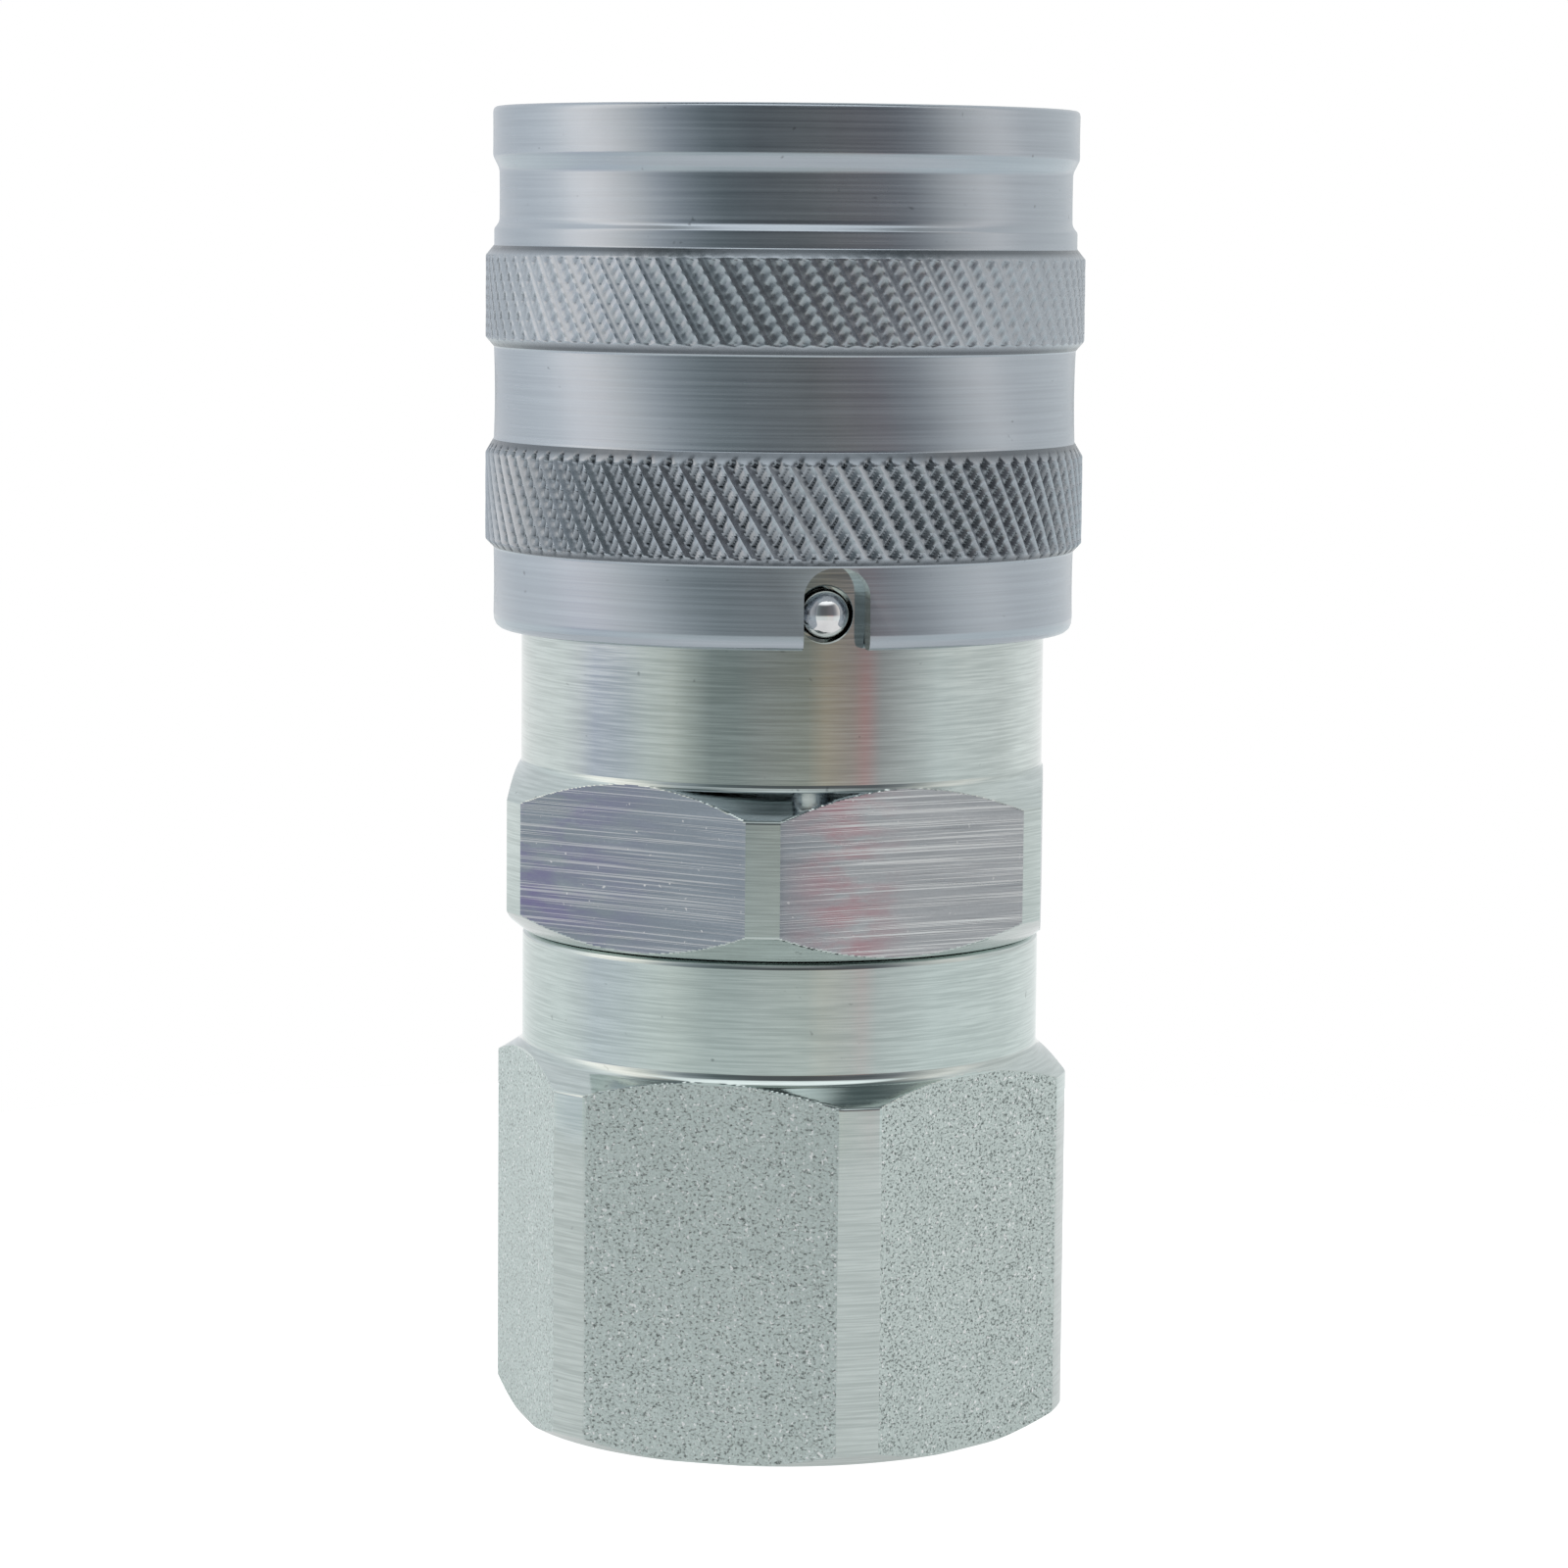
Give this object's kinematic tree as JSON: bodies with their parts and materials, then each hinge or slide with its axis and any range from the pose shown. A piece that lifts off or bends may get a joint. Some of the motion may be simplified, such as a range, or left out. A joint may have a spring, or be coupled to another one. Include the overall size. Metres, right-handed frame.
{
  "type": "quick disconnect coupler",
  "caption": "Female flat-face hydraulic quick coupler: knurled locking sleeve with a ball-and-notch safety lock, hexagonal valve body and hexagonal threaded port end.",
  "frame": {"origin": "on the coupler's axis, in the plane of the port face that it stands on", "axes": "+Z along the axis from the port to the mating face; -Y towards the sleeve lock ball's side, which is at the front"},
  "size_m": [0.0462, 0.0466, 0.1022],
  "materials": {
    "bright_zinc": "bright zinc plate over turned and milled steel, slightly blue-green",
    "zinc_nickel": "satin grey zinc-nickel plate with fine turning lines and rolled knurls",
    "machined_steel": "fine turned steel",
    "ball_steel": "polished hardened bearing ball",
    "spring_steel": "drawn spring wire, slightly oiled",
    "nitrile_rubber": "smooth black moulded nitrile",
    "ptfe": "off-white moulded PTFE"
  },
  "bodies": {
    "casing": {"rear_adapter": "bright_zinc", "valve_body": "bright_zinc", "sleeve_spring": "spring_steel", "sleeve_retaining_ring": "spring_steel", "sleeve_lock_ball": "ball_steel", "locking_ball_01": "ball_steel", "locking_ball_02": "ball_steel", "locking_ball_03": "ball_steel", "locking_ball_04": "ball_steel", "locking_ball_05": "ball_steel", "locking_ball_06": "ball_steel", "locking_ball_07": "ball_steel", "locking_ball_08": "ball_steel", "locking_ball_09": "ball_steel", "locking_ball_10": "ball_steel", "locking_ball_11": "ball_steel", "locking_ball_12": "ball_steel", "closing_ring_spring": "spring_steel", "valve_spring": "spring_steel", "valve_stem": "machined_steel", "stem_nut": "machined_steel", "stem_spider": "machined_steel", "spring_seat": "machined_steel", "stem_head_seal": "nitrile_rubber", "nose_seal": "nitrile_rubber", "nose_backup_ring": "ptfe", "valve_tail_seal": "nitrile_rubber", "valve_tail_backup_ring": "ptfe", "spring_seat_seal": "nitrile_rubber", "body_joint_seal": "nitrile_rubber"},
    "washer": {"sleeve_thrust_washer": "machined_steel"},
    "sleeve": {"locking_sleeve": "zinc_nickel"},
    "closing_ring": {"front_closing_ring": "machined_steel"},
    "valve": {"valve_sleeve": "machined_steel"}
  },
  "joints": [
    {"name": "sleeve_slide", "type": "slide", "parent": "casing", "child": "washer", "axis": [0, 0, 1], "range_m": [-0.0015, 0], "stiffness_N_per_m": 4000, "springref_m": 0.004, "deforming": ["sleeve_spring"]},
    {"name": "sleeve_turn", "type": "hinge", "parent": "washer", "child": "sleeve", "pos_m": [0, 0, 0.082], "axis": [0, 0, 1], "range_deg": [-3, 0]},
    {"name": "closing_ring_slide", "type": "slide", "parent": "casing", "child": "closing_ring", "axis": [0, 0, 1], "range_m": [-0.015, 0], "stiffness_N_per_m": 2500, "springref_m": 0.008, "deforming": ["closing_ring_spring"]},
    {"name": "valve_slide", "type": "slide", "parent": "casing", "child": "valve", "axis": [0, 0, 1], "range_m": [-0.015, 0], "stiffness_N_per_m": 2000, "springref_m": 0.008, "deforming": ["valve_spring"]}
  ]
}
